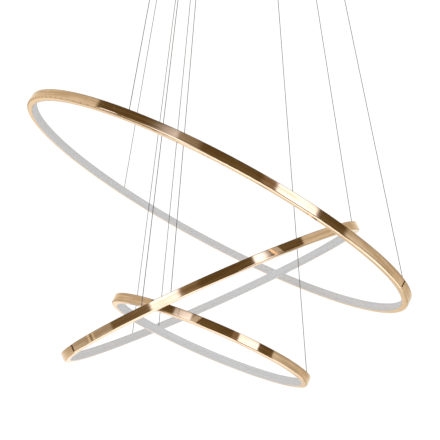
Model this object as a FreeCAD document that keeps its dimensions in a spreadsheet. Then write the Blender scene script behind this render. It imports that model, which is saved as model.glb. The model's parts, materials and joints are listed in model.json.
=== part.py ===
# Ring chandelier: three tilted light rings hang on thin wires from a round ceiling pan.
# Millimetres, +Z up, the origin is the middle of the ceiling plane.
import FreeCAD
import Part
import Sketcher
import math
import os

doc = FreeCAD.newDocument("Chandelier")
sheet = doc.addObject("Spreadsheet::Sheet", "Sizes")

sizes = {
    # the three light rings: outer radius, drop of the middle below the ceiling, slope and sideways lean
    "large_radius": 400.0, "large_drop": 581.06, "large_slope": 25.57, "large_lean": -0.90,
    "middle_radius": 298.17, "middle_drop": 741.5, "middle_slope": -26.40, "middle_lean": 1.51,
    "small_radius": 195.59, "small_drop": 831.28, "small_slope": 20.61, "small_lean": -4.34,
    # section of a ring
    "ring_height": 16.0, "ring_width": 13.0, "wall": 1.6, "floor_wall": 1.6, "web": 1.4,
    "corner": 3.0, "lip_height": 3.0, "lip_wall": 1.4,
    # seam of the bent profile, the slot beside it in the outer wall and the plate that closes it
    "seam_gap": 0.4, "seam_slot": 4.4, "large_seam": -26.9, "middle_seam": -151.3, "small_seam": 160.0,
    "splice_length": 30.0, "splice_width": 5.0, "splice_thickness": 1.3, "splice_inset": 5.5,
    "splice_screw_pitch": 18.0, "small_screw_radius": 1.0, "small_head_radius": 1.9, "small_head_height": 0.9,
    # light strip and diffuser
    "strip_thickness": 0.3, "strip_width": 7.8, "strip_seat": 0.3, "strip_margin": 0.5,
    "chip_length": 3.5, "chip_width": 2.8, "chip_thickness": 0.8, "chip_pitch": 50.0, "solder": 0.05,
    "diffuser_wall": 1.3, "diffuser_bulge": 0.5, "diffuser_hook": 4.0, "hook_thickness": 1.0,
    "diffuser_chamfer": 0.8, "snap_bridge": 1.0, "snap_length": 1.2, "snap_thickness": 1.0, "fit_gap": 0.3,
    # wire fixings in the rings
    "anchor_inset": 6.5, "anchor_length": 10.0, "anchor_width": 4.4, "anchor_height": 3.7,
    "spigot_radius": 2.0, "spigot_sink": 0.1, "wire_radius": 0.6, "wire_hole_gap": 0.3,
    "mouth_radius": 1.7, "mouth_depth": 1.5, "bend_depth": 1.0,
    "ferrule_radius": 1.5, "ferrule_length": 3.5, "ferrule_end": 0.5,
    "large_anchor_front": -114.08, "large_anchor_back": 125.78, "large_anchor_side": -6.50,
    "middle_anchor_front": -115.08, "middle_anchor_back": 127.18, "middle_anchor_side": -2.87,
    "small_anchor_front": -115.84, "small_anchor_back": 125.84, "small_anchor_side": -8.19,
    # ceiling pan
    "pan_radius": 250.0, "pan_height": 45.0, "pan_wall": 1.5, "pan_corner": 6.0,
    # wire grippers on circles in the pan's floor
    "large_circle": 215.1, "large_grip_front": -120.60, "large_grip_back": 131.06, "large_grip_side": -6.50,
    "middle_circle": 165.2, "middle_grip_front": -116.0, "middle_grip_back": 127.1, "middle_grip_side": -3.0,
    "small_circle": 96.5, "small_grip_front": -119.8, "small_grip_back": 133.1, "small_grip_side": -7.9,
    "stem_radius": 5.0, "stem_gap": 0.1, "stem_top": 12.0, "flange_radius": 7.0, "flange_height": 3.0,
    "barrel_radius": 5.5, "barrel_height": 12.0, "grip_nut_flat": 7.5, "grip_nut_height": 4.5,
    "nozzle_radius": 3.2, "collar_radius": 4.0, "collar_height": 2.2, "nozzle_out": 6.0, "slide_gap": 0.05,
    "shoulder": 2.7, "nozzle_stroke": 2.0, "stroke_spare": 0.5, "rest_gap": 0.1,
    "nozzle_mouth": 2.2, "nozzle_mouth_depth": 2.0,
    # ceiling bracket, studs and cap nuts
    "bar_length": 300.0, "bar_width": 30.0, "bar_thickness": 2.5, "bolt_circle": 60.0, "bolt_hole": 2.75,
    "cable_hole": 10.0, "stud_circle": 130.0, "stud_radius": 2.0, "stud_gap": 0.25, "stud_out": 4.0,
    "cap_radius": 4.5, "cap_height": 6.0,
    # driver and mains terminals
    "driver_length": 140.0, "driver_width": 50.0, "driver_height": 28.0, "tab_length": 14.0,
    "tab_thickness": 2.0, "driver_screw": 1.75, "driver_head": 3.2, "driver_head_height": 2.2,
    "block_length": 30.0, "block_width": 20.0, "block_height": 18.0, "block_x": 35.0, "block_y": 62.0,
}


class Size:
    """A length or angle: its text for the sheet and its value now."""

    def __init__(self, text, number):
        self.text = text
        self.number = number

    def join(self, other, sign, value, turned=False):
        other = size(other)
        left, right = (other, self) if turned else (self, other)
        return Size("(%s %s %s)" % (left.text, sign, right.text), value)

    def __add__(self, other):
        return self.join(other, "+", self.number + size(other).number)

    def __radd__(self, other):
        return self.join(other, "+", self.number + size(other).number, True)

    def __sub__(self, other):
        return self.join(other, "-", self.number - size(other).number)

    def __rsub__(self, other):
        return self.join(other, "-", size(other).number - self.number, True)

    def __mul__(self, other):
        return self.join(other, "*", self.number * size(other).number)

    def __rmul__(self, other):
        return self.join(other, "*", self.number * size(other).number, True)

    def __truediv__(self, other):
        return self.join(other, "/", self.number / size(other).number)

    def __neg__(self):
        return Size("(0 - %s)" % self.text, -self.number)


def size(value):
    return value if isinstance(value, Size) else Size(repr(float(value)), float(value))


def cosine(angle):
    return Size("cos(%s * 1 deg)" % angle.text, math.cos(math.radians(angle.number)))


def sine(angle):
    return Size("sin(%s * 1 deg)" % angle.text, math.sin(math.radians(angle.number)))


for row, (name, value) in enumerate(sizes.items(), start=1):
    sheet.set("A%d" % row, name)
    sheet.set("B%d" % row, str(value))
    sheet.setAlias("B%d" % row, name)
doc.recompute()


def named(name):
    return Size("Sizes." + name, float(sheet.get(name)))


def bind(piece, path, value):
    piece.setExpression(path, size(value).text)


def place(piece, x=0, y=0, z=0, turn=None):
    for axis, value in (("x", x), ("y", y), ("z", z)):
        if isinstance(value, Size) or value:
            bind(piece, ".Placement.Base." + axis, value)
    if turn is not None:
        piece.Placement.Rotation = FreeCAD.Rotation(FreeCAD.Vector(0, 0, 1), 0)
        bind(piece, ".Placement.Rotation.Angle", Size(turn.text + " * 1 deg", turn.number))


def body(label):
    piece = doc.addObject("PartDesign::Body", label)
    piece.Label = label
    return piece


def sketch(owner, name, plane):
    drawing = owner.newObject("Sketcher::SketchObject", name)
    origin = [item for item in owner.Origin.OriginFeatures if item.Role == plane][0]
    drawing.AttachmentSupport = [(origin, "")]
    drawing.MapMode = "FlatFace"
    return drawing


def fix(drawing, kind, geometry, point, value):
    value = size(value)
    if abs(value.number) < 1e-9 and "Sizes" not in value.text:
        axis = -2 if kind == "DistanceX" else -1
        drawing.addConstraint(Sketcher.Constraint("PointOnObject", geometry, point, axis))
        return
    index = drawing.addConstraint(Sketcher.Constraint(kind, -1, 1, geometry, point, value.number))
    if "Sizes" in value.text:
        drawing.setExpression("Constraints[%d]" % index, value.text)


def arc(start, end, radius, turn):
    # the centre lies left of the run for a left turn, right of it for a right turn
    a = FreeCAD.Vector(start[0].number, start[1].number, 0)
    b = FreeCAD.Vector(end[0].number, end[1].number, 0)
    half = (b - a) * 0.5
    rise = math.sqrt(max(radius.number ** 2 - half.Length ** 2, 0.0))
    side = FreeCAD.Vector(-half.y, half.x, 0).normalize() * rise * turn
    centre = a + half + side
    first, last = (a, b) if turn > 0 else (b, a)
    angles = [math.atan2(p.y - centre.y, p.x - centre.x) for p in (first, last)]
    if angles[1] < angles[0]:
        angles[1] += 2 * math.pi
    circle = Part.Circle(centre, FreeCAD.Vector(0, 0, 1), radius.number)
    return Part.ArcOfCircle(circle, angles[0], angles[1])


def outline(drawing, points):
    """A closed outline; a point is (x, y), or (x, y, radius, turn) when an arc leads to it."""
    corners = [(size(point[0]), size(point[1])) + tuple(point[2:]) for point in points]
    count = len(corners)
    ends = []
    for index in range(count):
        start, end = corners[index - 1], corners[index]
        if len(end) == 4:
            radius = size(end[2])
            number = drawing.addGeometry(arc(start, end, radius, end[3]), False)
            where = drawing.addConstraint(Sketcher.Constraint("Radius", number, radius.number))
            drawing.setExpression("Constraints[%d]" % where, radius.text)
            ends.append((number, 1, 2) if end[3] > 0 else (number, 2, 1))
        else:
            a = FreeCAD.Vector(start[0].number, start[1].number, 0)
            b = FreeCAD.Vector(end[0].number, end[1].number, 0)
            ends.append((drawing.addGeometry(Part.LineSegment(a, b), False), 1, 2))
    for index in range(count):
        this, following = ends[index], ends[(index + 1) % count]
        drawing.addConstraint(Sketcher.Constraint("Coincident", this[0], this[2], following[0], following[1]))
        fix(drawing, "DistanceX", this[0], this[2], corners[index][0])
        fix(drawing, "DistanceY", this[0], this[2], corners[index][1])


def circles(drawing, rounds):
    for x, y, radius in rounds:
        x, y, radius = size(x), size(y), size(radius)
        centre = FreeCAD.Vector(x.number, y.number, 0)
        number = drawing.addGeometry(Part.Circle(centre, FreeCAD.Vector(0, 0, 1), radius.number), False)
        fix(drawing, "DistanceX", number, 3, x)
        fix(drawing, "DistanceY", number, 3, y)
        where = drawing.addConstraint(Sketcher.Constraint("Radius", number, radius.number))
        drawing.setExpression("Constraints[%d]" % where, radius.text)


def turned(owner, name, points):
    drawing = sketch(owner, name + "_outline", "XZ_Plane")
    outline(drawing, points)
    feature = owner.newObject("PartDesign::Revolution", name)
    feature.Profile = drawing
    feature.ReferenceAxis = (drawing, ["V_Axis"])
    feature.Angle = 360
    drawing.Visibility = False
    return feature


def raised(owner, name, draw, start, height):
    """A pad of the drawing from the level start up by height."""
    drawing = sketch(owner, name + "_outline", "XY_Plane")
    bind(drawing, "AttachmentOffset.Base.z", start)
    draw(drawing)
    feature = owner.newObject("PartDesign::Pad", name)
    feature.Profile = drawing
    bind(feature, "Length", height)
    return feature


def cut(owner, name, draw, start, height):
    """Cuts the drawing out of the body from the level start up by height."""
    doc.recompute()
    before = owner.Shape.Volume
    drawing = sketch(owner, name + "_outline", "XY_Plane")
    bind(drawing, "AttachmentOffset.Base.z", start)
    draw(drawing)
    feature = owner.newObject("PartDesign::Pocket", name)
    feature.Profile = drawing
    bind(feature, "Length", height)
    feature.Reversed = True
    doc.recompute()
    if owner.Shape.Volume > before - 1e-6:
        raise ValueError("nothing was cut by " + name)
    return feature


def across(radius, angle, along=0):
    """A point at a radius and angle, moved along the tangent."""
    along = size(along)
    x = radius * cosine(angle) - along * sine(angle)
    y = radius * sine(angle) + along * cosine(angle)
    return x, y


def slab(drawing, radius, angle, width, length):
    """A rectangle centred at a radius and angle: width across, length along the tangent."""
    half = length / 2
    inner, outer = radius - width / 2, radius + width / 2
    corners = [across(inner, angle, -half), across(outer, angle, -half), across(outer, angle, half)]
    outline(drawing, corners + [across(inner, angle, half)])


nodes = []


def node(piece, label):
    piece.Label = label
    nodes.append(piece)
    return piece


def copies(label, source, places):
    """The source once at each place (x, y, turn), as one node."""
    links = []
    for x, y, turn in places:
        link = doc.addObject("App::Link", label + "_copy")
        link.LinkedObject = source
        place(link, x, y, 0, turn)
        links.append(link)
    group = doc.addObject("Part::Compound", label)
    group.Links = links
    return node(group, label)


# ceiling pan and what it carries
panRadius, panHeight, panWall = named("pan_radius"), named("pan_height"), named("pan_wall")
floorTop = panWall - panHeight
gripKinds = ("front", "back", "side")
ringNames = ("large", "middle", "small")


def gripPoint(ring, kind):
    return across(named(ring + "_circle"), named(ring + "_grip_" + kind))


gripPoints = {(ring, kind): gripPoint(ring, kind) for ring in ringNames for kind in gripKinds}
quarterAngles = [size(45 + 90 * quarter) for quarter in range(4)]
studPoints = [across(named("stud_circle"), angle) for angle in quarterAngles]
boltPoints = [across(named("bolt_circle"), angle) for angle in quarterAngles]


def ceilingPan():
    corner = named("pan_corner")
    pan = body("canopy_pan")
    inner = panRadius - panWall
    turned(pan, "pan_shell", [
        (0, floorTop), (0, -panHeight), (panRadius - corner, -panHeight),
        (panRadius, corner - panHeight, corner, 1), (panRadius, 0), (inner, 0),
        (inner, corner - panHeight), (panRadius - corner, floorTop, corner - panWall, -1)])
    holes = [(x, y, named("stem_radius") + named("stem_gap")) for x, y in gripPoints.values()]
    holes += [(x, y, named("stud_radius") + named("stud_gap")) for x, y in studPoints]
    cut(pan, "floor_holes", lambda drawing: circles(drawing, holes), -panHeight - 1, panWall + 2)
    node(pan, "canopy_pan")


def ceilingBracket():
    length, width, thickness = named("bar_length"), named("bar_width"), named("bar_thickness")
    bracket = body("ceiling_bracket")
    for name, angle in zip(("first_bar", "second_bar"), quarterAngles):
        raised(bracket, name, lambda drawing: slab(drawing, size(0), angle, length, width), -thickness, thickness)
    holes = [(x, y, named("bolt_hole")) for x, y in boltPoints] + [(0, 0, named("cable_hole"))]
    cut(bracket, "bracket_holes", lambda drawing: circles(drawing, holes), -thickness - 1, thickness + 2)
    node(bracket, "ceiling_bracket")


def studs():
    thickness, radius, out = named("bar_thickness"), named("stud_radius"), named("stud_out")
    stud = body("stud")
    turned(stud, "stud_rod", [(0, -thickness), (0, -panHeight - out), (radius, -panHeight - out), (radius, -thickness)])
    copies("canopy_studs", stud, [(x, y, None) for x, y in studPoints])
    cap = body("cap")
    bore, wide, high = radius + named("fit_gap"), named("cap_radius"), named("cap_height")
    dome = high / 3
    deep = out + named("fit_gap")
    turned(cap, "cap_turned", [
        (bore, -panHeight), (bore, -panHeight - deep), (0, -panHeight - deep), (0, -panHeight - high),
        (wide - dome, -panHeight - high), (wide, dome - panHeight - high, dome, 1), (wide, -panHeight)])
    copies("canopy_cap_nuts", cap, [(x, y, None) for x, y in studPoints])


def grippers():
    stem, flange, barrel = named("stem_radius"), named("flange_radius"), named("barrel_radius")
    flangeLow = -panHeight - named("flange_height")
    barrelLow = flangeLow - named("barrel_height")
    stemTop = -panHeight + panWall + named("stem_top")
    nozzle, collar, gap = named("nozzle_radius"), named("collar_radius"), named("slide_gap")
    ledge = barrelLow + named("shoulder")
    collarLow = ledge + named("rest_gap")
    collarTop = collarLow + named("collar_height")
    roof = collarTop + named("nozzle_stroke") + named("stroke_spare")
    wireHole = named("wire_radius") + named("wire_hole_gap")
    gripper = body("gripper")
    turned(gripper, "gripper_turned", [
        (barrel, barrelLow), (barrel, flangeLow), (flange, flangeLow), (flange, -panHeight),
        (stem, -panHeight), (stem, stemTop), (wireHole, stemTop), (wireHole, roof), (collar + gap, roof),
        (collar + gap, ledge), (nozzle + gap, ledge), (nozzle + gap, barrelLow)])
    copies("gripper_bodies", gripper, [(x, y, None) for x, y in gripPoints.values()])
    nut = body("gripper_nut")
    across60 = [across(named("grip_nut_flat") / 0.8660254, size(60 * corner)) for corner in range(6)]
    low, high = floorTop, named("grip_nut_height")
    raised(nut, "nut_block", lambda drawing: outline(drawing, across60), low, high)
    bore = [(0, 0, stem + named("stem_gap"))]
    cut(nut, "nut_bore", lambda drawing: circles(drawing, bore), low - 1, high + 2)
    copies("gripper_nuts", nut, [(x, y, None) for x, y in gripPoints.values()])
    nozzleLow = barrelLow - named("nozzle_out")
    mouthTop = nozzleLow + named("nozzle_mouth_depth")
    button = body("nozzle")
    turned(button, "nozzle_turned", [
        (named("nozzle_mouth"), nozzleLow), (nozzle, nozzleLow), (nozzle, collarLow), (collar, collarLow),
        (collar, collarTop), (wireHole, collarTop), (wireHole, mouthTop)])
    for (ring, kind), (x, y) in gripPoints.items():
        copies("nozzle_%s_%s" % (ring, kind), button, [(x, y, None)])
    return mouthTop


def driver():
    length, width, height = named("driver_length"), named("driver_width"), named("driver_height")
    tab, thick = named("tab_length"), named("tab_thickness")
    box = body("led_driver")

    def rectangle(drawing, long, wide, x=0, y=0):
        outline(drawing, [(x - long / 2, y - wide / 2), (x + long / 2, y - wide / 2),
                          (x + long / 2, y + wide / 2), (x - long / 2, y + wide / 2)])

    raised(box, "driver_case", lambda drawing: rectangle(drawing, length, width), floorTop, height)
    raised(box, "driver_tabs", lambda drawing: rectangle(drawing, length + tab * 2, width / 2), floorTop, thick)
    middle = length / 2 + tab / 2
    spots = [(middle, size(0)), (-middle, size(0))]
    holes = [(x, y, named("driver_screw") + named("fit_gap")) for x, y in spots]
    cut(box, "tab_holes", lambda drawing: circles(drawing, holes), floorTop - 1, thick + 2)
    node(box, "led_driver")
    screw = body("driver_screw")
    top = floorTop + thick
    turned(screw, "screw_turned", [
        (0, floorTop), (named("driver_screw"), floorTop), (named("driver_screw"), top), (named("driver_head"), top),
        (named("driver_head"), top + named("driver_head_height")), (0, top + named("driver_head_height"))])
    copies("driver_screws", screw, [(x, y, None) for x, y in spots])
    terminals = body("mains_terminal_block")
    raised(terminals, "terminal_case", lambda drawing: rectangle(
        drawing, named("block_length"), named("block_width"), named("block_x"), named("block_y")),
        floorTop, named("block_height"))
    node(terminals, "mains_terminal_block")


# the light rings, each drawn level about its own middle and then hung at its slope
ringHeight, ringWidth = named("ring_height"), named("ring_width")
top, bottom = ringHeight / 2, -ringHeight / 2
gap = named("fit_gap")


def hang(piece, ring):
    drop, slope, lean = named(ring + "_drop"), named(ring + "_slope"), named(ring + "_lean")
    piece.setExpression("Placement", "placement(vector(0; 0; 0 - %s); rotation(0; %s; %s))" % (
        drop.text, slope.text, lean.text))


def lipEdges(radius):
    """The lip stands behind the diffuser's face: its inner and outer radius and its top."""
    near = radius - ringWidth + named("diffuser_wall") + gap
    return near, near + named("lip_wall"), bottom + named("lip_height")


def channel(ring, radius, seam):
    wall, web, corner = named("wall"), named("web"), named("corner")
    lipNear, lipFar, lipTop = lipEdges(radius)
    floorInside = bottom + named("floor_wall")
    piece = body(ring + "_channel")
    turned(piece, ring + "_profile", [
        (radius, top), (lipNear, top), (lipNear, top - web), (radius - wall, top - web),
        (radius - wall, floorInside), (lipFar, floorInside), (lipFar, lipTop), (lipNear, lipTop),
        (lipNear, bottom), (radius - corner, bottom), (radius, bottom + corner, corner, 1)])
    anchors = anchorPoints(ring, radius)
    holes = [(x, y, named("spigot_radius") + gap) for x, y, angle in anchors]
    spots = spliceSpots(radius, seam)
    holes += [(x, y, named("small_screw_radius") + gap) for x, y in spots]
    cut(piece, ring + "_web_holes", lambda drawing: circles(drawing, holes), top - web - gap, web + 1)
    sinks = [(x, y, named("small_head_radius") + gap) for x, y in spots]
    sink = named("small_head_height")
    cut(piece, ring + "_sinks", lambda drawing: circles(drawing, sinks), top - sink, sink + 1)
    cut(piece, ring + "_seam", lambda drawing: slab(
        drawing, radius - ringWidth / 2, seam, ringWidth + 2, named("seam_gap")), bottom - 1, ringHeight + 2)
    cut(piece, ring + "_slot", lambda drawing: slab(
        drawing, radius, seam, (wall + gap) * 2, named("seam_slot")), bottom + corner, ringHeight - corner + 1)
    hang(piece, ring)
    node(piece, ring + "_ring_channel")


def diffuser(ring, radius):
    inner = radius - ringWidth
    face, back = inner - named("diffuser_bulge"), inner + named("diffuser_wall")
    webLow = top - named("web") - gap
    hookLow = webLow - named("hook_thickness")
    hookEnd = inner + named("diffuser_hook")
    lipNear, lipFar, lipTop = lipEdges(radius)
    bridgeLow = lipTop + gap
    bridgeTop = bridgeLow + named("snap_bridge")
    snapIn = lipFar + gap
    snapOut = snapIn + named("snap_thickness")
    snapLow = lipTop - named("snap_length")
    piece = body(ring + "_diffuser")
    turned(piece, ring + "_diffuser_profile", [
        (inner, top), (back, top), (back, webLow), (hookEnd, webLow), (hookEnd, hookLow),
        (back, hookLow), (back, bridgeTop), (snapOut, bridgeTop), (snapOut, snapLow), (snapIn, snapLow),
        (snapIn, bridgeLow), (back, bridgeLow), (back, bottom), (inner + named("diffuser_chamfer"), bottom),
        (inner, lipTop), (face, size(0))])
    hang(piece, ring)
    node(piece, ring + "_ring_diffuser")


def lightStrip(ring, radius, seam):
    outside = radius - named("wall") - named("strip_seat")
    inside = outside - named("strip_thickness")
    half = named("strip_width") / 2
    strip = body(ring + "_strip")
    turned(strip, ring + "_strip_profile", [(outside, half), (inside, half), (inside, -half), (outside, -half)])
    cut(strip, ring + "_strip_gap", lambda drawing: slab(
        drawing, radius - ringWidth / 2, seam, ringWidth + 2, named("seam_slot") + named("strip_margin") * 2),
        -half - 1, half * 2 + 2)
    hang(strip, ring)
    node(strip, ring + "_led_strip")
    chip = body(ring + "_chip")
    thick = named("chip_thickness")
    middle = inside - named("solder") - thick / 2
    raised(chip, ring + "_chip_block", lambda drawing: slab(
        drawing, middle, size(0), thick, named("chip_length")), -named("chip_width") / 2, named("chip_width"))
    count = int(round(2 * math.pi * middle.number / named("chip_pitch").number))
    chips = [(0, 0, seam + (index + 0.5) * 360.0 / count) for index in range(count)]
    hang(copies(ring + "_led_chips", chip, chips), ring)


def spliceSpots(radius, seam):
    middle = radius - named("splice_inset")
    half = named("splice_screw_pitch") / 2
    return [across(middle, seam, half), across(middle, seam, -half)]


def splice(ring, radius, seam):
    high = top - named("web") - gap
    low = high - named("splice_thickness")
    plate = body(ring + "_splice")
    raised(plate, ring + "_splice_bar", lambda drawing: slab(
        drawing, radius - named("splice_inset"), seam, named("splice_width"), named("splice_length")),
        low, named("splice_thickness"))
    spots = spliceSpots(radius, seam)
    holes = [(x, y, named("small_screw_radius") + gap) for x, y in spots]
    cut(plate, ring + "_splice_holes", lambda drawing: circles(drawing, holes), low - 1, named("splice_thickness") + 2)
    hang(plate, ring)
    node(plate, ring + "_splice_plate")
    screw = body(ring + "_splice_screw")
    shank, head = named("small_screw_radius"), named("small_head_radius")
    headLow = top - named("small_head_height") + gap / 3
    turned(screw, ring + "_splice_screw_turned", [
        (0, low), (shank, low), (shank, headLow), (head, headLow), (head, top - gap / 3), (0, top - gap / 3)])
    hang(copies(ring + "_splice_screws", screw, [(x, y, None) for x, y in spots]), ring)


def anchorPoints(ring, radius):
    middle = radius - named("anchor_inset")
    angles = [named(ring + "_anchor_" + kind) for kind in gripKinds]
    return [across(middle, angle) + (angle,) for angle in angles]


def wireEnds(ring, radius, throat):
    """The insulated anchors, the crimped ferrules and the wires of a ring."""
    middle = radius - named("anchor_inset")
    high = top - named("web") - gap
    tall = named("anchor_height")
    wire = named("wire_radius")
    hole = wire + named("wire_hole_gap")
    spigotTop = top - named("spigot_sink")
    anchor = body(ring + "_anchor")
    raised(anchor, ring + "_anchor_block", lambda drawing: slab(
        drawing, middle, size(0), named("anchor_width"), named("anchor_length")), high - tall, tall)
    spigot = [(middle, 0, named("spigot_radius"))]
    raised(anchor, ring + "_anchor_spigot", lambda drawing: circles(drawing, spigot), high - 1, spigotTop - high + 1)
    bore = [(middle, 0, hole)]
    cut(anchor, ring + "_anchor_bore", lambda drawing: circles(drawing, bore), high - tall - 1, tall + 4)
    mouth = [(middle, 0, named("mouth_radius"))]
    cut(anchor, ring + "_anchor_mouth", lambda drawing: circles(drawing, mouth),
        spigotTop - named("mouth_depth"), named("mouth_depth") + 1)
    turns = [(0, 0, named(ring + "_anchor_" + kind)) for kind in gripKinds]
    hang(copies(ring + "_wire_anchors", anchor, turns), ring)
    ferrule = body(ring + "_ferrule")
    ferruleTop = high - tall - gap
    ferruleLow = ferruleTop - named("ferrule_length")
    rounds = [(middle, 0, named("ferrule_radius"))]
    raised(ferrule, ring + "_ferrule_tube", lambda drawing: circles(drawing, rounds), ferruleLow, named("ferrule_length"))
    cut(ferrule, ring + "_ferrule_bore", lambda drawing: circles(drawing, bore), ferruleLow - 1,
        named("ferrule_length") + 2)
    hang(copies(ring + "_wire_ferrules", ferrule, turns), ring)
    bend = top - named("bend_depth")
    stubLow = ferruleLow + named("ferrule_end")
    level = FreeCAD.Placement(FreeCAD.Vector(0, 0, -named(ring + "_drop").number),
                              FreeCAD.Rotation(0, named(ring + "_slope").number, named(ring + "_lean").number))
    for kind in gripKinds:
        angle = math.radians(named(ring + "_anchor_" + kind).number)
        spot = FreeCAD.Vector(middle.number * math.cos(angle), middle.number * math.sin(angle), 0)
        knee = level.multVec(spot + FreeCAD.Vector(0, 0, bend.number))
        foot = level.multVec(spot + FreeCAD.Vector(0, 0, stubLow.number))
        x, y = gripPoints[ring, kind]
        end = FreeCAD.Vector(x.number, y.number, throat.number + gap.number)
        label = "wire_%s_%s" % (ring, kind)
        run = rod(label + "_run", knee, end, wire)
        stub = rod(label + "_stub", foot, knee, wire)
        joint = doc.addObject("Part::Sphere", label + "_bend")
        bind(joint, "Radius", wire)
        joint.Placement = FreeCAD.Placement(knee, FreeCAD.Rotation())
        whole = doc.addObject("Part::MultiFuse", label)
        whole.Shapes = [run, stub, joint]
        node(whole, label)


def rod(label, start, end, radius):
    piece = doc.addObject("Part::Cylinder", label)
    bind(piece, "Radius", radius)
    piece.Height = (end - start).Length
    piece.Placement = FreeCAD.Placement(start, FreeCAD.Rotation(FreeCAD.Vector(0, 0, 1), end - start))
    return piece


ceilingPan()
ceilingBracket()
studs()
throatLevel = grippers()
driver()
for ring in ringNames:
    radius, seam = named(ring + "_radius"), named(ring + "_seam")
    channel(ring, radius, seam)
    diffuser(ring, radius)
    lightStrip(ring, radius, seam)
    splice(ring, radius, seam)
    wireEnds(ring, radius, throatLevel)
doc.recompute()

# every object has to be sound before anything is written
for item in doc.Objects:
    if "Invalid" in item.State or "Error" in item.State:
        raise ValueError(item.Label + " did not build")
for piece in nodes:
    if piece.Shape.isNull() or not piece.Shape.isValid() or not piece.Shape.Solids:
        raise ValueError(piece.Label + " has no sound solid")
os.makedirs("parts", exist_ok=True)
for piece in nodes:
    piece.Shape.exportStep(os.path.join("parts", piece.Label + ".step"))
    box = piece.Shape.BoundBox
    print("%-24s %2d solids %9.0f mm3  z %8.2f to %8.2f" % (
        piece.Label, len(piece.Shape.Solids), piece.Shape.Volume, box.ZMin, box.ZMax))
print(len(nodes), "nodes")
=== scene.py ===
# Ring chandelier seen from below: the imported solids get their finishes, the hanging wires are made here.
import json
import math

import bpy
import numpy as np
from mathutils import Matrix, Vector


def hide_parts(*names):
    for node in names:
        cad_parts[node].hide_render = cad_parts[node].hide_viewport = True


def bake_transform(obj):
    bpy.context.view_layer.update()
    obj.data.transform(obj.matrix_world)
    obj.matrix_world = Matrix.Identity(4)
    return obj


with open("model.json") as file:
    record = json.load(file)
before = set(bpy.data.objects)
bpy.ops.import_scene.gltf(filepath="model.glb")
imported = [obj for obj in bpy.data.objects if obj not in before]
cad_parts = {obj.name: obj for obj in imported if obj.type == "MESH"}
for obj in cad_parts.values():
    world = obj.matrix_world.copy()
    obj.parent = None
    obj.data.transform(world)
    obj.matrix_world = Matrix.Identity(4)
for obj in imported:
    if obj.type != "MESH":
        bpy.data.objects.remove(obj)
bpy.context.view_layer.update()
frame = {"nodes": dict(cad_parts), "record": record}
nodes = frame["nodes"]
print("packed solids loaded:", len(nodes))


# sums of sockets are written as plain Python
class Flow:
    # one output socket; + - * / and powers on it add Math nodes
    def __init__(self, bench, socket):
        self.bench = bench
        self.socket = socket

    def __add__(self, other):
        return self.bench.maths("ADD", self, other)

    def __radd__(self, other):
        return self.bench.maths("ADD", other, self)

    def __sub__(self, other):
        return self.bench.maths("SUBTRACT", self, other)

    def __rsub__(self, other):
        return self.bench.maths("SUBTRACT", other, self)

    def __mul__(self, other):
        return self.bench.maths("MULTIPLY", self, other)

    def __truediv__(self, other):
        return self.bench.maths("DIVIDE", self, other)

    def __pow__(self, other):
        return self.bench.maths("POWER", self, other)


class Bench:
    # the node tree of one material or of the world
    def __init__(self, tree):
        self.tree = tree

    def node(self, kind, settings=None, sockets=None, output=0):
        made = self.tree.nodes.new(kind)
        for name, value in (settings or {}).items():
            setattr(made, name, value)
        for name, value in (sockets or {}).items():
            self.feed(made.inputs[name], value)
        return Flow(self, made.outputs[output])

    def feed(self, socket, value):
        if isinstance(value, Flow):
            self.tree.links.new(value.socket, socket)
        else:
            socket.default_value = value

    def maths(self, operation, first, second=0.0):
        return self.node("ShaderNodeMath", {"operation": operation}, {0: first, 1: second})

    def blend(self, amount, first, second):
        # colour running from first to second
        return self.node("ShaderNodeMix", {"data_type": "RGBA"}, {0: amount, 6: first, 7: second}, 2)

    def lean(self, amount, first, second):
        # vector running from first to second
        return self.node("ShaderNodeMix", {"data_type": "VECTOR"}, {0: amount, 4: first, 5: second}, 1)

    def soften(self, value, low, high):
        # 0 below low, 1 above high, smooth between
        return self.node("ShaderNodeMapRange", {"interpolation_type": "SMOOTHSTEP"},
                         {"Value": value, "From Min": low, "From Max": high})

    def split(self, vector):
        # the three numbers of a vector
        parts = self.node("ShaderNodeSeparateXYZ", sockets={0: vector}).socket.node
        return [Flow(self, output) for output in parts.outputs]

    def join(self, first, second, third):
        return self.node("ShaderNodeCombineXYZ", sockets={0: first, 1: second, 2: third})

    def noise(self, scale, detail=3.0, vector=None):
        vector = vector or self.node("ShaderNodeTexCoord", output="Object")
        return self.node("ShaderNodeTexNoise", sockets={"Scale": scale, "Detail": detail, "Vector": vector})

    def bump(self, height, distance, normal=None):
        sockets = {"Height": height, "Distance": distance}
        if normal:
            sockets["Normal"] = normal
        return self.node("ShaderNodeBump", sockets=sockets)

    def stretched(self, x, y, z):
        # object coordinates scaled apart: noise runs long where a scale is small, as brushed or turned grain
        place = self.node("ShaderNodeTexCoord", output="Object")
        return self.node("ShaderNodeMapping", sockets={"Vector": place, "Scale": (x, y, z)})


def finish(name, paint):
    # a material whose shader sockets come from paint(bench): a dictionary by socket name
    material = bpy.data.materials.new(name)
    material.use_nodes = True
    bench = Bench(material.node_tree)
    shader = material.node_tree.nodes["Principled BSDF"]
    for socket, value in paint(bench).items():
        bench.feed(shader.inputs[socket], value)
    return material


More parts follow.
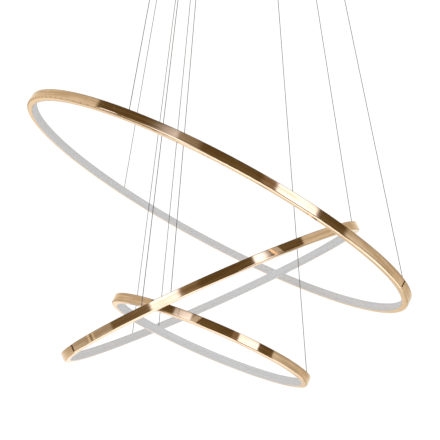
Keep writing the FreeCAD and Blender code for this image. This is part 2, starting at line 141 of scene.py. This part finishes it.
# the rings' places as in the solids, in metres and degrees: anchors are the angles at which the wires leave,
# circle and grips the places of their grippers in the pan
rings = {
    "large": {"radius": 0.4, "drop": 0.58106, "slope": 25.57, "lean": -0.90, "seam": -26.9,
              "anchors": {"front": -114.08, "back": 125.78, "side": -6.50},
              "circle": 0.2151, "grips": {"front": -120.60, "back": 131.06, "side": -6.50}},
    "middle": {"radius": 0.29817, "drop": 0.7415, "slope": -26.40, "lean": 1.51, "seam": -151.3,
               "anchors": {"front": -115.08, "back": 127.18, "side": -2.87},
               "circle": 0.1652, "grips": {"front": -116.0, "back": 127.1, "side": -3.0}},
    "small": {"radius": 0.19559, "drop": 0.83128, "slope": 20.61, "lean": -4.34, "seam": 160.0,
              "anchors": {"front": -115.84, "back": 125.84, "side": -8.19},
              "circle": 0.0965, "grips": {"front": -119.8, "back": 133.1, "side": -7.9}},
}
# a channel's section from the ring's middle plane, and where its finishes change: the upper edge, darkened as
# painted shade, the polished outside skin, and the strip beside the seam's slot, darkened as painted shade
section = {"low": -0.008, "corner": 0.003, "fade": 0.001, "rimShadeTop": 0.0078, "rimShadeInset": 0.0004,
           "skinTop": 0.0072, "skinInset": 0.0001, "skinFade": 0.0005, "cutHalf": 0.003, "cutLow": -0.0044,
           "cutFade": 0.0008}


def ringPlace(ring):
    # down by the drop, sloped about Y, then leaned about the ring's own X
    slope = Matrix.Rotation(math.radians(ring["slope"]), 4, "Y")
    lean = Matrix.Rotation(math.radians(ring["lean"]), 4, "X")
    return Matrix.Translation((0, 0, -ring["drop"])) @ slope @ lean


def ringSpot(bench, ring):
    # object coordinates turned into the ring's own: x and y in its plane with the seam on the far side of x,
    # away from its axis, height over its middle plane, and length round it from opposite the seam
    place = ringPlace(ring) @ Matrix.Rotation(math.radians(ring["seam"] + 180), 4, "Z")
    inRing = bench.node("ShaderNodeMapping", {"vector_type": "TEXTURE"}, {
        "Vector": bench.node("ShaderNodeTexCoord", output="Object"),
        "Location": place.to_translation(), "Rotation": place.to_euler()})
    x, y, height = bench.split(inRing)
    return {"rotation": place.to_euler(), "x": x, "y": y, "height": height, "away": (x * x + y * y) ** 0.5,
            "length": bench.maths("ARCTAN2", y, x) * ring["radius"]}


def drawnOut(bench, spot, across, along, detail):
    # noise that is fine across the section and long round the ring
    return bench.noise(1.0, detail, vector=bench.join(
        spot["away"] * across, spot["height"] * across, spot["length"] * along))


def besideSeam(bench, ring, spot):
    # 1 on the strip beside the seam's slot, 0 on the rest of the ring
    start = math.pi * ring["radius"] - section["cutHalf"]
    return bench.soften(bench.maths("ABSOLUTE", spot["length"]), start - section["fade"], start)


def skinNormal(bench, ring, spot, meshed):
    # the outer skin's exact normal: level and outward on the wall, and round the lower corner turned down by
    # the angle whose sine is (corner's start - height) / corner; the meshed one stays at the rim and the seam
    fall = (section["low"] + section["corner"] - spot["height"]) / section["corner"]
    fall = bench.maths("MINIMUM", bench.maths("MAXIMUM", fall, 0.0), 1.0)
    out = (1 - fall * fall) ** 0.5
    own = bench.node("ShaderNodeMapping", {"vector_type": "VECTOR"}, {
        "Vector": bench.join(spot["x"] / spot["away"] * out, spot["y"] / spot["away"] * out, fall * -1.0),
        "Rotation": spot["rotation"]})
    exact = bench.node("ShaderNodeVectorTransform", {
        "vector_type": "NORMAL", "convert_from": "OBJECT", "convert_to": "WORLD"}, {0: own})
    outside = ring["radius"] - section["corner"] - section["skinInset"]
    skin = bench.soften(spot["away"], outside - section["skinFade"], outside)
    skin = skin * (1 - besideSeam(bench, ring, spot))
    skin = skin * (1 - bench.soften(spot["height"], section["skinTop"] - section["fade"], section["skinTop"]))
    return bench.lean(skin, meshed, exact)


gold = {"deep": (0.65, 0.430, 0.240, 1), "pale": (0.90, 0.640, 0.405, 1), "rimShade": (0.30, 0.20, 0.11, 1),
        "cut": (0.24, 0.12, 0.03, 1), "graze": (1, 0.90, 0.74, 1), "rough": 0.04, "edge": 0.0012,
        "dieLines": (1600.0, 5.0), "streaks": (260.0, 9.0), "rolls": (16.0, 12.0), "haze": 60.0,
        "paling": 10.0, "relief": 0.0006}


def ringGold(ring):
    # polished extrusion: streaks and die lines along it, slow waves from the bending rolls, rounded edges;
    # painted light paling its lower side, painted shade along the upper edge and beside the seam's slot
    def paint(bench):
        spot = ringSpot(bench, ring)
        lines = drawnOut(bench, spot, *gold["dieLines"], 3.0)
        streaks = drawnOut(bench, spot, *gold["streaks"], 2.0)
        along, up = gold["rolls"]
        waves = bench.join(spot["length"] * along, spot["height"] * up, spot["away"])
        rolls = bench.noise(1.0, 1.0, vector=waves)
        haze = bench.noise(gold["haze"], 4.0)
        # paler towards the ring's lower side: painted light; the streaks and haze are the finish's own
        grainAndPaintedLight = streaks * 0.8 + haze * 0.2 - spot["height"] * gold["paling"]  # paler downwards
        tone = bench.blend(bench.soften(grainAndPaintedLight, 0.38, 0.62), gold["deep"], gold["pale"])
        # painted shade: a dark line along the wall's upper edge
        wall = ring["radius"] - section["rimShadeInset"]
        rimShade = bench.soften(spot["height"], section["rimShadeTop"] - section["fade"], section["rimShadeTop"])
        rimShade = rimShade * bench.soften(spot["away"], wall - section["fade"], wall)
        tone = bench.blend(rimShade, tone, gold["rimShade"])  # darker along the upper edge
        # painted shade: the strip beside the seam's slot is darkened above the lower corner
        cut = bench.soften(spot["height"], section["cutLow"] - section["cutFade"], section["cutLow"])
        cut = cut * besideSeam(bench, ring, spot)
        tone = bench.blend(cut, tone, gold["cut"])  # and beside the seam's slot
        rounded = bench.node("ShaderNodeBevel", {"samples": 8}, {"Radius": gold["edge"]})
        normal = skinNormal(bench, ring, spot, rounded)
        return {"Base Color": tone, "Metallic": 1.0, "Specular Tint": gold["graze"],
                "Roughness": gold["rough"] + lines * 0.03 + haze * 0.03,
                "Normal": bench.bump(rolls + lines * 0.004, gold["relief"], normal)}
    return paint


plated = {"haze": 18.0, "hairs": 1400.0, "stretch": (1.0, 1.0, 0.05), "rough": 0.16, "relief": 0.00002}


def canopyGold(bench):
    # plated sheet: faint clouding and upright hairlines
    haze = bench.noise(plated["haze"], 4.0)
    hairs = bench.noise(plated["hairs"], 2.0, vector=bench.stretched(*plated["stretch"]))
    tone = bench.blend(0.35 + haze * 0.5, gold["deep"], gold["pale"])
    return {"Base Color": tone, "Metallic": 1.0, "Roughness": plated["rough"] + haze * 0.08,
            "Normal": bench.bump(hairs, plated["relief"])}


turned = {"haze": 140.0, "lathe": 2600.0, "stretch": (0.02, 0.02, 1.0), "rough": 0.16, "relief": 0.00002}


def fittingGold(bench):
    # turned parts: fine lathe rings about the upright axis
    lathe = bench.noise(turned["lathe"], 1.0, vector=bench.stretched(*turned["stretch"]))
    haze = bench.noise(turned["haze"], 3.0)
    tone = bench.blend(haze, gold["deep"], gold["pale"])
    return {"Base Color": tone, "Metallic": 1.0, "Roughness": turned["rough"] + lathe * 0.12,
            "Normal": bench.bump(lathe, turned["relief"])}


opal = {"shade": (0.55, 0.55, 0.55, 1), "light": (0.60, 0.60, 0.60, 1), "streaks": (500.0, 3.0),
        "grain": 2400.0, "rough": 0.50, "relief": 0.000004}


def opalDiffuser(ring):
    # satin opal extrusion: faint streaks along its length and a fine matt grain; its grey is painted shade on
    # a white opal
    def paint(bench):
        streaks = drawnOut(bench, ringSpot(bench, ring), *opal["streaks"], 3.0)
        grain = bench.noise(opal["grain"], 2.0)
        tone = bench.blend(bench.soften(streaks, 0.3, 0.7), opal["shade"], opal["light"])
        return {"Base Color": tone, "Roughness": opal["rough"] + grain * 0.06,
                "Normal": bench.bump(grain, opal["relief"])}
    return paint


wireLook = {"strands": 6.0, "lay": 0.0075, "dark": (0.11, 0.11, 0.11, 1), "bright": (0.24, 0.24, 0.24, 1),
            "rough": 0.38, "relief": 0.00008}


def wireSteel(bench):
    # laid strands: a wave that runs round the wire as it goes along, on the wire's own UV map
    around, along, _ = bench.split(bench.node("ShaderNodeUVMap", {"uv_map": "lay"}))
    turn = (around * wireLook["strands"] + along / wireLook["lay"]) * (2 * math.pi)
    strand = bench.maths("SINE", turn) * 0.5 + 0.5
    groove = bench.soften(strand, 0.05, 0.6)
    # the colour darkens where the strands dip between each other: painted shade in the grooves
    return {"Base Color": bench.blend(groove, wireLook["dark"], wireLook["bright"]), "Metallic": 1.0,
            "Roughness": wireLook["rough"] - groove * 0.1, "Normal": bench.bump(groove, wireLook["relief"])}


zinc = {"dark": (0.50, 0.51, 0.53, 1), "bright": (0.62, 0.63, 0.64, 1), "spangle": 160.0, "haze": 60.0,
        "rough": 0.3}


def zincSteel(bench):
    spangle = bench.node("ShaderNodeTexVoronoi", sockets={
        "Vector": bench.node("ShaderNodeTexCoord", output="Object"), "Scale": zinc["spangle"]})
    haze = bench.noise(zinc["haze"], 3.0)
    return {"Base Color": bench.blend(spangle * 0.7, zinc["dark"], zinc["bright"]), "Metallic": 1.0,
            "Roughness": zinc["rough"] + haze * 0.15}


brass = {"dark": (0.52, 0.36, 0.13, 1), "bright": (0.64, 0.46, 0.20, 1), "haze": 220.0, "rough": 0.28}


def crimpedBrass(bench):
    haze = bench.noise(brass["haze"], 3.0)
    return {"Base Color": bench.blend(haze, brass["dark"], brass["bright"]), "Metallic": 1.0,
            "Roughness": brass["rough"] + haze * 0.15}


# moulded plastics by slot: name, shade, light, roughness and fineness of the grain
plastics = {
    "strip_film": ("whiteStripFilm", (0.70, 0.70, 0.66, 1), (0.80, 0.80, 0.77, 1), 0.4, 700.0),
    "led_phosphor": ("yellowPhosphor", (0.72, 0.52, 0.10, 1), (0.84, 0.66, 0.20, 1), 0.25, 900.0),
    "anchor_plastic": ("anchorNylon", (0.60, 0.60, 0.56, 1), (0.70, 0.70, 0.66, 1), 0.45, 1200.0),
    "driver_case": ("driverCase", (0.74, 0.74, 0.73, 1), (0.82, 0.82, 0.81, 1), 0.45, 1100.0),
    "terminal_plastic": ("terminalNylon", (0.62, 0.62, 0.58, 1), (0.72, 0.72, 0.69, 1), 0.4, 1000.0),
}


def moulded(shade, light, rough, fineness):
    # faint clouding and a fine spark-eroded grain
    def paint(bench):
        cloud = bench.noise(30.0, 3.0)
        grain = bench.noise(fineness, 2.0)
        return {"Base Color": bench.blend(cloud, shade, light), "Roughness": rough + grain * 0.12,
                "Normal": bench.bump(grain, 0.00006)}
    return paint


# finishes by slot, and by slot and ring where the finish runs along the ring
finishes = {
    "canopy_gold": finish("platedCanopyGold", canopyGold),
    "fitting_gold": finish("turnedFittingGold", fittingGold),
    "wire_steel": finish("strandedWire", wireSteel),
    "zinc_steel": finish("zincPlatedSteel", zincSteel),
    "ferrule_brass": finish("crimpedBrass", crimpedBrass),
}
for slot, (name, *look) in plastics.items():
    finishes[slot] = finish(name, moulded(*look))
for ringName, ring in rings.items():
    finishes["ring_gold", ringName] = finish(ringName + "RingGold", ringGold(ring))
    finishes["diffuser", ringName] = finish(ringName + "OpalDiffuser", opalDiffuser(ring))
slots = {part["node"]: part["material_slot"] for part in frame["record"]["subparts"]}
for name, solid in nodes.items():
    solid.data.materials.clear()
    ringName = name.split("_")[0]
    solid.data.materials.append(finishes.get(slots[name]) or finishes[slots[name], ringName])
print("finishes on the packed solids:", len(finishes))


# inset is the wires' distance from a ring's outer face; foot and bend are the heights of the crimped end and
# of the turn in the anchor's mouth over the ring's middle plane, straight is the run after the turn, and
# throat the height of the gripper's mouth
wire = {"radius": 0.0006, "inset": 0.0065, "foot": -0.0004, "bend": 0.007, "straight": 0.0072,
        "throat": -0.0637, "sides": 14, "steps": 12}


def onCircle(radius, degrees, height):
    angle = math.radians(degrees)
    return Vector((radius * math.cos(angle), radius * math.sin(angle), height))


def splinePoints(name, route):
    # points read from a NURBS spline of order 3 through the route's ends
    curve = bpy.data.curves.new(name + "_route", "CURVE")
    curve.dimensions = "3D"
    curve.resolution_u = wire["steps"]
    spline = curve.splines.new("NURBS")
    spline.points.add(len(route) - 1)
    for point, place in zip(spline.points, route):
        point.co = (*place, 1)
    spline.order_u = 3
    spline.use_endpoint_u = True
    holder = bpy.data.objects.new(name + "_route", curve)
    bpy.context.scene.collection.objects.link(holder)
    bpy.context.view_layer.update()
    mesh = bpy.data.meshes.new_from_object(holder.evaluated_get(bpy.context.evaluated_depsgraph_get()))
    places = np.empty(len(mesh.vertices) * 3)
    mesh.vertices.foreach_get("co", places)
    bpy.data.meshes.remove(mesh)
    bpy.data.objects.remove(holder)
    bpy.data.curves.remove(curve)
    return places.reshape(-1, 3)


def tube(name, path, radius, sides):
    # a circle carried along the path: point(i, j) = path[i] + radius (cos t_j side_i + sin t_j up_i),
    # where side_i and up_i stand square to the path's direction at i; both ends are closed by a centre point
    steps = np.gradient(path, axis=0)
    ways = steps / np.linalg.norm(steps, axis=1, keepdims=True)
    side = np.cross(ways, (0.0, 1.0, 0.0))
    side /= np.linalg.norm(side, axis=1, keepdims=True)
    up = np.cross(side, ways)
    count = len(path)
    turn = np.linspace(0, 2 * np.pi, sides, endpoint=False)
    outward = np.cos(turn)[None, :, None] * side[:, None] + np.sin(turn)[None, :, None] * up[:, None]
    circles = path[:, None] + radius * outward
    points = np.concatenate([circles.reshape(-1, 3), path[:1], path[-1:]])
    i, j = np.meshgrid(np.arange(count - 1), np.arange(sides), indexing="ij")
    here, ahead, following = i * sides, (i + 1) * sides, (j + 1) % sides
    walls = np.stack([here + j, ahead + j, ahead + following, here + following], -1)
    edge = np.arange(sides)
    nextEdge = (edge + 1) % sides
    last = (count - 1) * sides
    first = np.stack([np.full(sides, count * sides), edge, nextEdge], -1)
    final = np.stack([np.full(sides, count * sides + 1), last + nextEdge, last + edge], -1)
    faces = walls.reshape(-1, 4).tolist() + first.tolist() + final.tolist()
    mesh = bpy.data.meshes.new(name)
    mesh.from_pydata(points.tolist(), [], faces)
    mesh.polygons.foreach_set("use_smooth", np.ones(len(faces), bool))
    # UV: x goes once round the wire, y is the length along it in metres
    length = np.concatenate([[0], np.cumsum(np.linalg.norm(np.diff(path, axis=0), axis=1))])
    around = np.stack([j, j, j + 1, j + 1], -1) / sides
    along = length[np.stack([i, i + 1, i + 1, i], -1)]
    capUv = np.zeros((2 * sides * 3, 2))
    capUv[sides * 3:, 1] = length[-1]
    allUv = np.concatenate([np.stack([around, along], -1).reshape(-1, 2), capUv])
    mesh.uv_layers.new(name="lay").data.foreach_set("uv", allUv.ravel())
    mesh.materials.append(finishes["wire_steel"])
    mesh.update()
    piece = bpy.data.objects.new(name, mesh)
    bpy.context.scene.collection.objects.link(piece)
    return piece


def hangWire(ringName, ring, kind):
    # from the crimped end up through the anchor's mouth, then straight to the gripper
    name = "wire_%s_%s" % (ringName, kind)
    place = ringPlace(ring)
    inner = ring["radius"] - wire["inset"]
    foot = place @ onCircle(inner, ring["anchors"][kind], wire["foot"])
    knee = place @ onCircle(inner, ring["anchors"][kind], wire["bend"])
    grip = onCircle(ring["circle"], ring["grips"][kind], wire["throat"])
    way = (grip - knee).normalized()
    route = splinePoints(name, [foot, knee, knee + way * wire["straight"], grip])
    # the mesh takes the route's points up to the first on its straight run, and then the end
    beyond = (route - np.array(knee)) @ np.array(way) > wire["straight"] * 0.5
    bent = route[:int(np.argmax(beyond)) + 1]
    piece = tube("hanging_" + name, np.vstack([bent, route[-1:]]), wire["radius"], wire["sides"])
    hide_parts(name)
    ringName + "_ring"
    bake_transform(piece)


for ringName, ring in rings.items():
    for kind in ("front", "back", "side"):
        hangWire(ringName, ring, kind)
print("hanging wires made")


stage = {"height": -2.4, "half": 5.0, "shade": (0.86, 0.86, 0.86, 1), "light": (0.90, 0.90, 0.90, 1),
         "clouds": 0.8, "rough": 0.7}


def paleFloor(bench):
    tone = bench.blend(bench.noise(stage["clouds"]), stage["shade"], stage["light"])
    return {"Base Color": tone, "Roughness": stage["rough"]}


def addStage():
    half, height = stage["half"], stage["height"]
    corners = [(-half, -half, height), (half, -half, height), (half, half, height), (-half, half, height)]
    mesh = bpy.data.meshes.new("floor")
    mesh.from_pydata(corners, [], [(0, 1, 2, 3)])
    mesh.materials.append(finish("paleFloor", paleFloor))
    floor = bpy.data.objects.new("floor", mesh)
    bpy.context.scene.collection.objects.link(floor)
    floor.visible_glossy = False


# the studio that the polished bands mirror, in degrees to the right of the way behind the camera and of rise:
# side walls and the far wall behind the lamp, each with its level and (from, to, change) steps of rise, a
# brighter stripe low on the far wall, the floor, and windows;
# a window is (left, right, low, high, edge, colour or level, top fade), and later ones lie over earlier ones
studio = {
    "white": 1.05,  # what the eye and matt surfaces see instead
    "sides": (0.54, (-20.0, -10.0, 0.17), (20.0, 36.0, 0.05)),
    "far": (0.80, (-6.0, 1.0, 0.16), (4.0, 16.0, 0.12)),
    "farEdge": (138.0, 174.0),
    "stripe": {"low": (-14.0, -8.0), "high": (-5.0, 0.0), "level": 0.26, "green": 0.04, "blue": 0.12},
    "floor": (1.42, 1.56, 1.85, 1),
    "floorEdge": (-36.0, -26.0),
    "wallTint": (0.99, 0.95),  # green and blue against red
    "windowTint": (1, 0.98, 0.93),
    "windows": (
        (-181, 181, 50, 91, 5, 0.50, 0),  # ceiling
        (-76, 71, -27, 46, 1.5, (0.145, 0.105, 0.048), 0),  # dark wall behind the camera
        (14, 71, -50, -20, 3, (0.145, 0.105, 0.048), 0),  # and its foot
        (-125, -74, -42, -25, 2, 0.36, 0),  # feet of the left and right walls
        (71, 118, -32, -17, 2, 0.42, 0),
        (29, 52, -16, 21, 1, (1.8, 2.05, 2.7), 0),  # right window
        (-62, -43, -14, 16, 2, 0.9, 0),  # pale panel beside the left window
        (-43, -20, -19, 31, 1.5, (1.75, 1.95, 2.5), 14),
        (-21, -9, 19, 40, 2, (0.33, 0.30, 0.25), 0),  # brown panels on the dark wall
        (-76, -43, -27, -12, 2, (0.225, 0.18, 0.11), 0),
        (-21, -10, -9, 5, 3, (0.27, 0.215, 0.14), 0),
        (23, 29, -3, 10, 1.5, (0.30, 0.23, 0.16), 0),
        (-105, -103.6, -25, -15, 0.5, 1.2, 0),  # three slats low at the left
        (-102, -100.6, -25, -15, 0.5, 0.25, 0),
        (-99, -97.8, -25, -15, 0.5, 1.2, 0),
        (-73, -61, 16, 34, 1, (1.8, 2.05, 2.7), 0),  # high window at the left
        (112, 125, 20, 36, 1, 0.16, 0),  # dark panel at the right
    ),
}


def wallLevel(bench, rise, level, *steps):
    for low, high, change in steps:
        level = level + bench.soften(rise, low, high) * change
    return level


def studioColour(bench):
    x, y, z = bench.split(bench.node("ShaderNodeTexCoord", output="Generated"))
    turn = bench.maths("ARCTAN2", x, y * -1.0) * math.degrees(1)
    rise = bench.maths("ARCSINE", z) * math.degrees(1)
    side = wallLevel(bench, rise, *studio["sides"])
    far = wallLevel(bench, rise, *studio["far"])
    behind = bench.soften(bench.maths("ABSOLUTE", turn), *studio["farEdge"])
    stripe = studio["stripe"]
    below = behind * bench.soften(rise, *stripe["low"]) * (1 - bench.soften(rise, *stripe["high"]))
    level = side + behind * (far - side) + below * stripe["level"]
    green, blue = studio["wallTint"]
    room = bench.node("ShaderNodeCombineColor", sockets={
        0: level, 1: level * (green + below * stripe["green"]), 2: level * (blue + below * stripe["blue"])})
    colour = bench.blend(bench.soften(rise, *studio["floorEdge"]), studio["floor"], room)
    for left, right, low, high, edge, shade, fade in studio["windows"]:
        inside = bench.soften(turn, left - edge, left + edge)
        inside = inside * (1 - bench.soften(turn, right - edge, right + edge))
        inside = inside * bench.soften(rise, low - edge, low + edge)
        inside = inside * (1 - bench.soften(rise, high - edge - fade, high + edge))
        shade = shade if isinstance(shade, tuple) else [shade * tint for tint in studio["windowTint"]]
        colour = bench.blend(inside, colour, (*shade, 1))
    return colour


def addWorld():
    # white to the eye and to matt surfaces; glossy rays see the studio
    world = bpy.data.worlds.new("studio")
    bpy.context.scene.world = world
    world.use_nodes = True
    bench = Bench(world.node_tree)
    mirrored = bench.node("ShaderNodeBackground", sockets={"Color": studioColour(bench), "Strength": 1.0})
    plain = bench.node("ShaderNodeBackground", sockets={"Color": (1, 1, 1, 1), "Strength": studio["white"]})
    glossy = bench.node("ShaderNodeLightPath", output="Is Glossy Ray")
    mixed = bench.node("ShaderNodeMixShader", sockets={0: glossy, 1: plain, 2: mirrored})
    output = next(item for item in world.node_tree.nodes if item.type == "OUTPUT_WORLD")
    bench.feed(output.inputs["Surface"], mixed)


frontLight = {"place": (-0.6, -3.2, 0.2), "target": (0, 0, -0.7), "size": 2.4, "power": 10}


def addLight(name, look):
    light = bpy.data.lights.new(name, "AREA")
    light.shape = "DISK"
    light.size = look["size"]
    light.energy = look["power"]
    holder = bpy.data.objects.new(name, light)
    bpy.context.scene.collection.objects.link(holder)
    way = Vector(look["target"]) - Vector(look["place"])
    aim = way.to_track_quat("-Z", "Y").to_matrix().to_4x4()
    holder.matrix_world = Matrix.Translation(look["place"]) @ aim
    holder.visible_camera = False
    holder.visible_glossy = False


addStage()
addWorld()
addLight("front_soft", frontLight)
bpy.context.scene.view_settings.view_transform = "Standard"
print("floor, world and light set")


# the photograph's place, pitched up and rolled a little; focal length and shift are in pixels, frame across
lens = {"place": (0.00843, -1.86262, -0.940), "pitch": 10.31, "roll": 2.30, "focal": 1000.0,
        "shift": (0.4, -0.2), "frame": 440.0, "sensor": 36.0, "near": 0.01}


def addCamera():
    camera = bpy.data.cameras.new("camera")
    camera.sensor_width = lens["sensor"]
    camera.lens = lens["focal"] / lens["frame"] * camera.sensor_width
    camera.clip_start = lens["near"]
    camera.shift_x, camera.shift_y = (pixels / lens["frame"] for pixels in lens["shift"])
    holder = bpy.data.objects.new("camera", camera)
    bpy.context.scene.collection.objects.link(holder)
    pitch = Matrix.Rotation(math.radians(90 + lens["pitch"]), 4, "X")
    roll = Matrix.Rotation(math.radians(lens["roll"]), 4, "Z")
    holder.matrix_world = Matrix.Translation(lens["place"]) @ pitch @ roll
    bpy.context.scene.camera = holder


addCamera()
